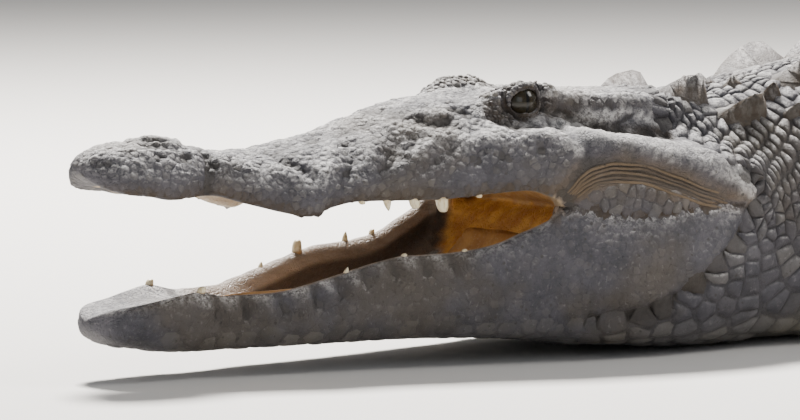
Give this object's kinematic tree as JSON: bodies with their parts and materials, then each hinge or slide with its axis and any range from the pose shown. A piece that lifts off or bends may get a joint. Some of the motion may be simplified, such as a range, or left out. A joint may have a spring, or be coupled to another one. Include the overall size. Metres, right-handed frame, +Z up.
{
  "type": "crocodile",
  "caption": "Life-size still model of a large crocodile lying on its belly with open jaws, splayed legs and a gently curved, crested tail.",
  "frame": {"origin": "on the floor under the middle of the belly, in the plane of symmetry of the head and trunk", "axes": "+X along the spine from head to tail, +Y to the animal's right, +Z up"},
  "size_m": [3.7564, 1.0815, 0.288],
  "materials": {
    "hide": "dry grey scaly hide, matt, with dark creases",
    "mouth_lining": "dull satin mouth skin, tan to amber",
    "eye": "wet gloss",
    "claw_horn": "worn horn",
    "tooth": "worn ivory"
  },
  "bodies": {
    "root": {"skull": "hide", "jaw_lower": "hide", "neck": "hide", "trunk": "hide", "tail_base": "hide", "tail_middle": "hide", "tail_tip": "hide", "upper_arm_left": "hide", "forearm_left": "hide", "hand_left": "hide", "thigh_left": "hide", "shin_left": "hide", "foot_left": "hide", "upper_arm_right": "hide", "forearm_right": "hide", "hand_right": "hide", "thigh_right": "hide", "shin_right": "hide", "foot_right": "hide", "tongue": "mouth_lining", "eye_left": "eye", "eye_right": "eye", "claw_fore_left_1": "claw_horn", "claw_fore_left_2": "claw_horn", "claw_fore_left_3": "claw_horn", "claw_fore_right_1": "claw_horn", "claw_fore_right_2": "claw_horn", "claw_fore_right_3": "claw_horn", "claw_hind_left_1": "claw_horn", "claw_hind_left_2": "claw_horn", "claw_hind_left_3": "claw_horn", "claw_hind_right_1": "claw_horn", "claw_hind_right_2": "claw_horn", "claw_hind_right_3": "claw_horn"}
  },
  "joints": []
}
